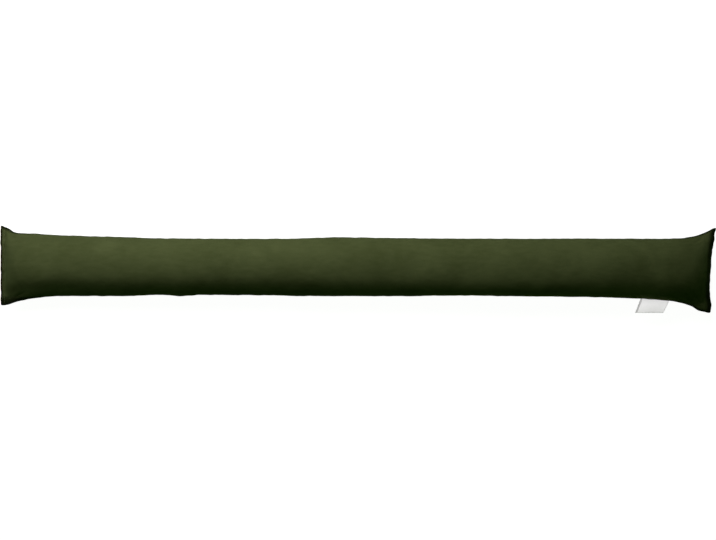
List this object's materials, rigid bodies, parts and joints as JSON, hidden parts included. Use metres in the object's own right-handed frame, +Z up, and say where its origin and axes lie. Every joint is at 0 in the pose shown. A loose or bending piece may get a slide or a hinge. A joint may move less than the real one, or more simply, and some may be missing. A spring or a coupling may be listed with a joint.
{
  "type": "draught excluder",
  "caption": "Long slim filled cushion of plain dark olive cloth, with pointed corners, flat end seams and a small folded label, laid along the foot of a door.",
  "frame": {"origin": "centre of the underside of the box round the whole cushion, on the floor that it lies on", "axes": "+X along the cushion towards the end with the label, +Y to its far long side, +Z up through its thickness"},
  "size_m": [1.0018, 0.1228, 0.0713],
  "materials": {
    "cover_cloth": "matt short pile",
    "label_tape": "smooth tape"
  },
  "bodies": {
    "root": {"filled_cover": "cover_cloth", "label": "label_tape"}
  },
  "joints": []
}
